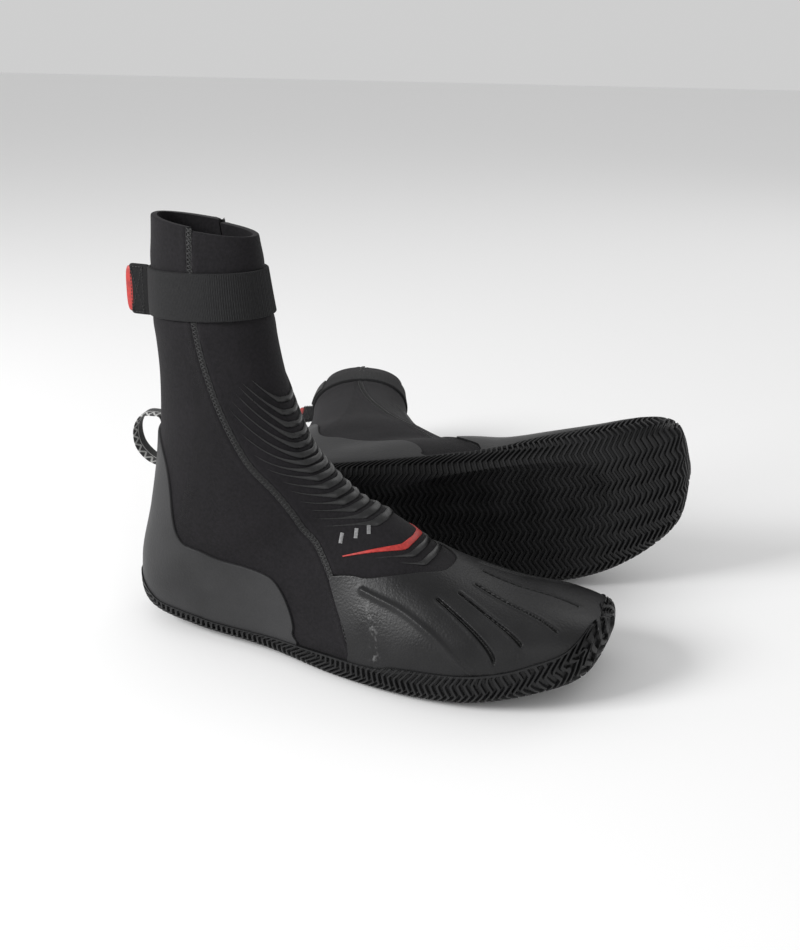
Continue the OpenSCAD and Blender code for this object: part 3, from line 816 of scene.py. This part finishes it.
def herringbone_sole():
    """Rows are steps along the sole, columns steps round it from rim to rim. The zigzag is a triangle
    wave of the distance from the middle line, and a rib's profile repeats each pitch along the rows."""
    s_fine = np.linspace(RIM_START, LAST_SECTION, 800)
    middle = outline(s_fine, 180)
    reach = run_length(middle)
    profile = np.array([0.0, 0.10, 0.42, 0.56, 0.92])
    level = np.array([0.0, 1.0, 1.0, 0.0, 0.0])
    turns = int(reach[-1] / TREAD_PITCH)
    rows = (np.arange(turns)[:, None] + profile[None]).ravel() * reach[-1] / turns
    rows = np.concatenate([rows, reach[-1:]])
    high = np.concatenate([np.tile(level, turns), [0]])
    columns = np.linspace(-1, 1, SOLE_COLUMNS)
    s = np.interp(rows, reach, s_fine)[:, None] + 0 * columns[None]
    rim = angle_on(RIM, s)
    a = 180 + columns[None] * (180 - rim)
    girth = surface_uv(outline(s, a))[..., 0]
    wave = np.abs(girth / ZIGZAG - 2 * np.floor(girth / ZIGZAG / 2 + 0.5)) - 0.5
    calm = np.clip(np.minimum(rows, reach[-1] - rows) / (5 * MM), 0, 1)[:, None]
    s = np.interp(rows[:, None] + wave * ZIGZAG_REACH * calm, reach, s_fine)
    rim = angle_on(RIM, s)
    a = 180 + columns[None] * (180 - rim)
    base = skin(s, a, WALL_PROUD)
    base[..., 2] = np.maximum(base[..., 2], 0)
    down_slope = np.gradient(base, axis=0)
    round_slope = np.gradient(base, axis=1)
    up = unit(np.cross(round_slope, down_slope))
    up *= np.sign(np.sum(up * facing(s, a), -1, keepdims=True))
    to_rim = np.abs(girth[:, [0]]) - np.abs(girth)
    to_rim = np.where(girth > 0, girth[:, [-1]] - girth, to_rim)
    lip = np.clip((to_rim - 1.2 * MM) / (0.8 * MM), 0, 1)
    ends = np.clip((np.minimum(rows, reach[-1] - rows) - 1.5 * MM) / (1.5 * MM), 0, 1)[:, None]
    cut = TREAD_DEPTH * (1 - high)[:, None] * lip * ends
    outer = base - up * cut[..., None]
    outer[..., 2] = np.maximum(outer[..., 2], 0)
    inner = skin(s, a, np.where(np.cos(np.radians(a)) < -0.5, -SOLE_THICK, -CUP - 0.4 * MM))
    return closed_shell(outer, inner)


sole = herringbone_sole()
for side in SIDES:
    riding(side, "foot", "outsole_rubber", "outsole",
           make_mesh("herringbone_outsole", side, sole, SOLE_RUBBER, sharp=30))

# %% [markdown]
# ## Inside the boot
# Through the collar one sees the insole: a foam footbed on the sock's own bottom panel. Both are flat
# nets on the inside of the outsole, with softly rounded edges.

# %% Bottom panel and footbed
def floor_layer(edge, top, thickness, roll):
    """A net across the boot's floor between two lines of places on its left and right."""
    line = curve(edge, 90)
    across, rolled_columns = soft_steps(40, 0.02)
    s = np.repeat(line[:, :1], len(across), 1)
    a = line[:, 1:] + (360 - 2 * line[:, 1:]) * across[None]
    outer = skin(s, a, top - thickness + roll * rolled_columns[None])
    return closed_shell(outer, skin(s, a, top + 0 * s))


bottom = floor_layer([[6.3, 128], [8, 128], [10, 122], [13, 128]], -4.2 * MM, 3.4 * MM, 0.5 * MM)
insole = floor_layer([[6.5, 137], [8, 134], [10, 130], [12.9, 138]], -7.8 * MM, 3.0 * MM, 0.8 * MM)
for side in SIDES:
    riding(side, "foot", "neoprene", "bottom_panel",
           make_mesh("bottom_sock_panel", side, bottom, NEOPRENE))
    riding(side, "foot", "footbed_foam", "footbed", make_mesh("foam_footbed", side, insole, FOAM))

# %% [markdown]
# ## Instep ribs
# The ribs are liquid rubber poured in moulds: thin lines on the sides that swell into blocks over the
# instep, so that the boot flexes but doesn't chafe under a foot strap. A rib is a profile carried
# along a path. The path climbs from the knee near the middle line to a tail on the side, and the
# profile's width and height shrink towards the tail.

# %% Ribs, chevron and mark
KNEE = 14
PATH_POINTS = 61
# The place of each rib's knee, and the place and angle of its tail. KNEE is the knees' angle.
RIBS = [[2.2, 1.85, 41], [2.4, 1.9, 50], [2.6, 1.95, 54], [2.8, 2.05, 58], [3.0, 2.15, 63], [3.25, 2.25, 67],
        [3.5, 2.6, 62], [3.8, 3.0, 55], [4.15, 3.4, 47], [4.55, 3.9, 40], [5.05, 4.25, 38], [5.55, 4.75, 36],
        [6.1, 5.2, 35], [6.65, 5.7, 35], [7.2, 6.15, 35], [8.72, 8.1, 36], [9.06, 8.6, 27]]


def rib_path(knee, tail, tail_angle):
    """Places from one tail over the middle to the other. Outside the knee the path climbs by a power
    of the angle, and inside it runs straight across."""
    a = np.linspace(tail_angle, -tail_angle, PATH_POINTS)
    beyond = np.clip((np.abs(a) - KNEE) / (tail_angle - KNEE), 0, 1)
    s = knee - (knee - tail) * beyond**1.25 + 0.03 * np.clip(1 - np.abs(a) / KNEE, 0, 1)
    return s, a, beyond


def swept(s, a, base, half_width, height, profile):
    """A profile of (across, up) points carried along the path of places. Across is scaled by the half
    width and up by the height at each place, both in metres."""
    points, up, sideways = along_path(s, a, base)
    across = half_width[:, None] * profile[None, :, 0]
    rise = height[:, None] * profile[None, :, 1]
    flat = points[:, None] + sideways[:, None] * across[..., None]
    return closed_shell(flat + up[:, None] * rise[..., None], flat - up[:, None] * 0.6 * MM)


BLOCK = np.array([[-1, 0], [-0.94, 0.55], [-0.8, 0.93], [-0.55, 1], [0, 0.86], [0.55, 0.62], [0.88, 0.36],
                  [1, 0]])


def rib(knee, tail, tail_angle):
    """One rib: about a third of a millimetre high and thin at the tail, 1.5 mm high and some millimetres
    wide within the knee."""
    s, a, beyond = rib_path(knee, tail, tail_angle)
    pitch = np.interp(knee, [2.2, 3, 4.5, 7.2, 9], [6.0, 6.4, 7.2, 7.6, 6.0]) * MM
    within = 1 - beyond
    thin = 0.30 * MM
    half = thin + (0.31 * pitch - thin) * within**3.2
    height = 0.35 * MM + 1.2 * MM * within**2.2
    count = np.arange(PATH_POINTS)
    tip = np.clip(np.minimum(count, count[::-1]) / 3, 0.15, 1)
    return swept(s, a, SKIN_OUT, half * tip, height * tip, BLOCK * [-1, 1])


def chevron():
    """The red chevron over the instep: a flat print, wide at the knees and pointed at its tails."""
    s, a, beyond = rib_path(8.42, 7.5, 45)
    narrowed = np.where(np.abs(a) < KNEE, 0.75 + 0.25 * np.abs(a) / KNEE, 1)
    half = 0.35 * MM + 1.75 * MM * (1 - beyond) ** 1.1 * narrowed
    flat = np.array([[-1, 0], [-0.93, 0.8], [-0.8, 1], [0, 1], [0.8, 1], [0.93, 0.8], [1, 0]])
    return swept(s, a, SKIN_OUT, half, 0.6 * MM + 0 * s, flat)


def emblem():
    """A plain mark of three slanted bars on the outer side."""
    flat = np.array([[-1, 0], [-0.85, 0.85], [-0.6, 1], [0.6, 1], [0.85, 0.85], [1, 0]])
    bars = []
    for k in range(3):
        a = np.linspace(39 - 7 * k, 33 - 7 * k, 12)
        s = np.linspace(7.1, 6.8, 12) + 0.15 * k
        bars.append(swept(s, a, SKIN_OUT, 1.1 * MM + 0 * s, 0.45 * MM + 0 * s, flat))
    return joined(bars)


ribs, mark, red = joined([rib(*row) for row in RIBS]), emblem(), chevron()
for side in SIDES:
    riding(side, "foot", "rib_rubber", "instep_ribs",
           make_mesh("poured_ribs", side, ribs, RIB_RUBBER, sharp=40))
    riding(side, "foot", "red_print", "instep_chevron", make_mesh("red_chevron", side, red, RED_PRINT))
    riding(side, "foot", "pale_print", "instep_emblem", make_mesh("instep_mark", side, mark, PALE_PRINT))

# %% [markdown]
# ## Ankle strap and hook tab
# The strap is elastic webbing, 26 mm wide. Its front stretch is ribbed where rubber yarns run inside, which
# is modelled as fine true ribs, and its rear stretch is plain. It ends in a stiff hook tab with a
# stitched box and cross, and a red grip at the tip. The tab closes on a patch of loop pile.

# %% Ankle strap
STRAP_IN = SKIN_OUT + 0.3 * MM
STRAP_OUT = STRAP_IN + 2.0 * MM
RIBBED_FROM, RIBBED_TO = -150, 72


def ankle_strap():
    """A band round the shaft. Its ribs are a cosine of the distance round it, and both edges roll in."""
    steps, rolled = soft_steps(22, 0.03)
    a = np.linspace(180, -180, 960, endpoint=False)
    tilt = STRAP_TILT * np.cos(np.radians(a))
    s = (STRAP_TOP + (STRAP_BOTTOM - STRAP_TOP) * steps)[:, None] - tilt[None]
    a = a[None] + 0 * s
    middle = skin(s[:1], a[:1], STRAP_OUT)[0]
    round_it = np.cumsum(np.linalg.norm(np.diff(middle, axis=0, prepend=middle[:1]), axis=1))
    ribbed = 1 / (1 + np.exp(-(a - RIBBED_FROM) / 3)) / (1 + np.exp((a - RIBBED_TO) / 5))
    wave = 0.11 * MM * np.cos(2 * math.pi * round_it / (1.25 * MM))[None] * ribbed
    outer = skin(s, a, STRAP_OUT - 0.3 * MM + wave * (1 - rolled[:, None]) - 0.5 * MM * rolled[:, None])
    return closed_shell(outer, skin(s, a, STRAP_IN + 0 * s), wrap=True)


strap = ankle_strap()
for side in SIDES:
    riding(side, "shaft", "strap_elastic", "ankle_strap",
           make_mesh("elastic_strap", side, strap, STRAP_ELASTIC))

# %% Stitches and the hook tab
def stitch_row(path, up, length, gap):
    """Separate short stitches along a path: each is a bent thread that dips at both ends."""
    reach = run_length(path)
    stitches = []
    for begin in np.arange(gap / 2, reach[-1] - length, length + gap):
        t = np.linspace(begin, begin + length, 5)
        points = np.stack([np.interp(t, reach, path[:, k]) for k in range(3)], -1)
        arch = np.array([-0.12, 0.12, 0.18, 0.12, -0.12]) * MM
        stitches.append(tube(points + up * arch[:, None], np.tile(up, (5, 1)), 0.22 * MM))
    return joined(stitches)


def rounded_plate(low, high, thickness, corner, crown):
    """A plate in the XZ plane with rounded corners and soft edges. Each row across is as long as a
    superellipse allows, and the faces bulge by crown in the middle."""
    u = np.linspace(-1, 1, 40)
    w = np.sin(np.linspace(-0.5, 0.5, 24) * math.pi)
    u, w = np.sin(u * math.pi / 2)[None] + 0 * w[:, None], w[:, None] + 0 * u[None]
    square = (np.abs(u) ** corner + np.abs(w) ** corner) ** (1 / corner)
    scale = np.maximum(np.abs(u), np.abs(w)) / np.maximum(square, 1e-9)
    x = (low[0] + high[0]) / 2 + u * scale * (high[0] - low[0]) / 2
    z = (low[2] + high[2]) / 2 + w * scale * (high[2] - low[2]) / 2
    edge = np.maximum(np.abs(u), np.abs(w))
    bulge = thickness / 2 * np.sqrt(np.clip(1.04 - edge**8, 0.04, 1)) + crown * (1 - edge**2)
    y = (low[1] + high[1]) / 2
    return closed_shell(np.stack([x, y - bulge, z], -1), np.stack([x, y + bulge, z], -1))


tab_low, tab_high = [np.array(v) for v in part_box("right_hook_tab")]
grip_low, grip_high = [np.array(v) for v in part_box("right_tab_grip")]


def box_and_cross(low, high, y, up):
    """Stitching of a box with a cross in it, a little inside the tab's outline."""
    inset = 1.6 * MM
    x0, x1, z0, z1 = low[0] + inset, high[0] - inset, low[2] + inset, high[2] - inset
    corners = np.array([[x0, y, z0], [x1, y, z0], [x1, y, z1], [x0, y, z1], [x0, y, z0]])
    lines = [corners, corners[[0, 2]], corners[[1, 3]]]
    return joined([stitch_row(line, np.array(up, float), 1.5 * MM, 0.5 * MM) for line in lines])


tab_y = (tab_low[1] + tab_high[1]) / 2
tab_half = (tab_high[1] - tab_low[1]) / 2
# The tab's root and the grip's inner end reach a little past their boxes, under the strap and the tab
TAB_REACH, GRIP_REACH = 3.4 * MM, 3 * MM
PLATE_CROWN = 0.2 * MM
tab_plate = rounded_plate(tab_low, tab_high + [TAB_REACH, 0, 0], tab_half * 2, 9, PLATE_CROWN)
tab_stitches = joined([box_and_cross(tab_low, tab_high, tab_y - tab_half - 0.1 * MM, (0, -1, 0)),
                       box_and_cross(tab_low, tab_high, tab_y + tab_half + 0.1 * MM, (0, 1, 0))])
grip = rounded_plate(grip_low - [0.6 * MM, 0, 0], grip_high + [GRIP_REACH, 0, 0], tab_half * 2.1, 3.2,
                     PLATE_CROWN)
for side in SIDES:
    riding(side, "strap_tab", "tab_webbing", "hook_tab",
           make_mesh("hook_tab_webbing", side, tab_plate, TAB_WEBBING))
    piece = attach(make_mesh("tab_stitches", side, tab_stitches, THREAD, sharp=80), side + "_strap_tab")
    riding(side, "strap_tab", "red_trim", "tab_grip", make_mesh("red_grip", side, grip, RED_PRINT))

# %% Loop pile patch
def pile_patch():
    """The soft half of the closure, on the strap behind the ankle."""
    steps, rolled_rows = soft_steps(24, 0.04)
    across, rolled_columns = soft_steps(24, 0.04)
    behind = STRAP_TILT * np.cos(np.radians(192 + 32 * across))
    s = (STRAP_TOP + 0.05 + (STRAP_BOTTOM - STRAP_TOP - 0.1) * steps)[:, None] - behind[None]
    a = (192 + 32 * across)[None] + 0 * s
    places = np.stack([s, a], -1)
    return layer(places, STRAP_OUT + 0.9 * MM, STRAP_OUT - 0.3 * MM, rolled_rows, rolled_columns, 0.6 * MM)


patch = pile_patch()
for side in SIDES:
    riding(side, "shaft", "loop_pile", "strap_loop_patch", make_mesh("pile_patch", side, patch, LOOP_PILE))

# %% [markdown]
# ## Pull loop
# A short length of woven tape is sewn to the back of the heel, so that a wet boot can be pulled on. The
# tape stands out in a D shape and leans a little, as soft tape does.

# %% Tape loop and its tacks
loop_low, loop_high = [np.array(v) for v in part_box("right_pull_loop")]
LOOP_REACH = 2.4 * MM
TAPE_HALF = 0.55 * MM


def tape_loop():
    """A ring of tape. Its path is a D: a smooth closed curve through nine points set out in the loop's
    own box and stretched by LOOP_REACH to touch the heel. The tape's width direction leans back and
    forth by a sine round the ring."""
    count, rows = 160, 22
    size = loop_high - loop_low
    marks = np.array([[0.97, 0.93], [0.70, 0.985], [0.28, 0.93], [0.04, 0.66], [0.08, 0.34], [0.36, 0.12],
                      [0.74, 0.02], [0.97, 0.10], [0.985, 0.50]])
    closed = np.concatenate([marks[-1:], marks, marks[:2]])
    ring = along(closed, np.linspace(1, len(marks) + 1, count, endpoint=False))
    path = np.stack([loop_low[0] + ring[:, 0] * (size[0] + LOOP_REACH), 0 * ring[:, 0],
                     loop_low[2] + ring[:, 1] * size[2]], -1)
    ahead = unit(np.roll(path, -1, 0) - np.roll(path, 1, 0))
    out = np.stack([ahead[:, 2], 0 * ahead[:, 0], -ahead[:, 0]], -1)
    free = np.clip(1 - ring[:, 0], 0, 1)
    lean = np.sin(np.linspace(0, 2 * np.pi, count, endpoint=False))
    tilt = (0.16 * free)[:, None] * out * lean[:, None]
    width = np.array([0, 1.0, 0]) + tilt
    share = np.linspace(-0.5, 0.5, rows)
    across = share * (size[1] - 1.0 * MM)
    sheet = path[None] + across[:, None, None] * width[None]
    edge = TAPE_HALF * np.sqrt(np.clip(1.02 - (2 * np.abs(share)) ** 6, 0.05, 1))
    half = out[None] * edge[:, None, None]
    points, faces, uv = closed_shell(sheet + half, sheet - half, wrap=True)
    return points, faces, uv[:, ::-1]


def tacks():
    """Four rows of stitches, two above the loop and two below it, that hold the tape's ends."""
    rows = []
    for s, base in ((2.38, SKIN_OUT), (2.5, SKIN_OUT), (3.78, 0), (3.9, 0)):
        count = 90
        a = np.linspace(167, 193, count)
        s_path = s + 0.018 * np.sign(np.sin(np.arange(count) * 1.9))
        rows.append(tube(skin(s_path, a, base + 0.3 * MM), facing(s_path, a), 0.25 * MM))
    return joined(rows)


tape, tack = tape_loop(), tacks()
for side in SIDES:
    riding(side, "pull_loop", "tape_webbing", "pull_loop", make_mesh("pull_tape", side, tape, LOOP_TAPE))
    riding(side, "foot", "seam_thread", "loop_tacks",
           make_mesh("tape_tacks", side, tack, THREAD, sharp=80))

# %% [markdown]
# ## Floor, light and camera
# Product light is a large soft key from the upper left, a wide and weak fill from the right, and a faint
# light from behind for the edges. The floor is plain and pale, and isn't part of the object.

# %% Stage
def plane(name, size, height, colour):
    """A flat square floor."""
    mesh = bpy.data.meshes.new(name)
    corners = [(x * size, y * size, height) for x, y in ((-1, -1), (1, -1), (1, 1), (-1, 1))]
    mesh.from_pydata(corners, [], [(0, 1, 2, 3)])
    ground = bpy.data.objects.new(name, mesh)
    bpy.context.scene.collection.objects.link(ground)
    f = Finish(name, 0.9)
    f.shader.inputs["Base Color"].default_value = colour
    mesh.materials.append(f.material)


plane("floor", 6.0, min(cad_low[2], 0.0) - 0.0002, (0.9, 0.9, 0.9, 1))
world = bpy.data.worlds.new("studio")
bpy.context.scene.world = world
world.use_nodes = True
world.node_tree.nodes["Background"].inputs["Color"].default_value = (1, 1, 1, 1)
world.node_tree.nodes["Background"].inputs["Strength"].default_value = 0.62


def soft_box(name, place_at, target, size, watts):
    """A square area light that looks at a target."""
    lamp = bpy.data.lights.new(name, "AREA")
    lamp.size = size
    lamp.energy = watts
    light = bpy.data.objects.new(name, lamp)
    light.location = place_at
    light.rotation_euler = (Vector(target) - Vector(place_at)).to_track_quat("-Z", "Y").to_euler()
    bpy.context.scene.collection.objects.link(light)


soft_box("key", (-1.1, -1.1, 1.0), (0, 0, 0.1), 0.7, 30)
soft_box("fill", (1.6, -1.2, 0.9), (0, 0, 0.1), 1.2, 5)
soft_box("rim", (0.6, 1.5, 1.2), (0, 0.1, 0.1), 1.0, 3)

# %% Camera
CAMERA_AT = (0.2514, -0.5575, 0.3420)
LOOK_AT = (0.0, 0.0, 0.110)
lens = bpy.data.cameras.new("camera")
lens.lens = 44.95
lens.sensor_width = 36
lens.shift_x = 0.0441
lens.shift_y = -0.0082
camera = bpy.data.objects.new("camera", lens)
camera.location = CAMERA_AT
camera.rotation_euler = (Vector(LOOK_AT) - Vector(CAMERA_AT)).to_track_quat("-Z", "Y").to_euler()
bpy.context.scene.collection.objects.link(camera)
bpy.context.scene.camera = camera
bpy.context.scene.view_settings.view_transform = "Standard"
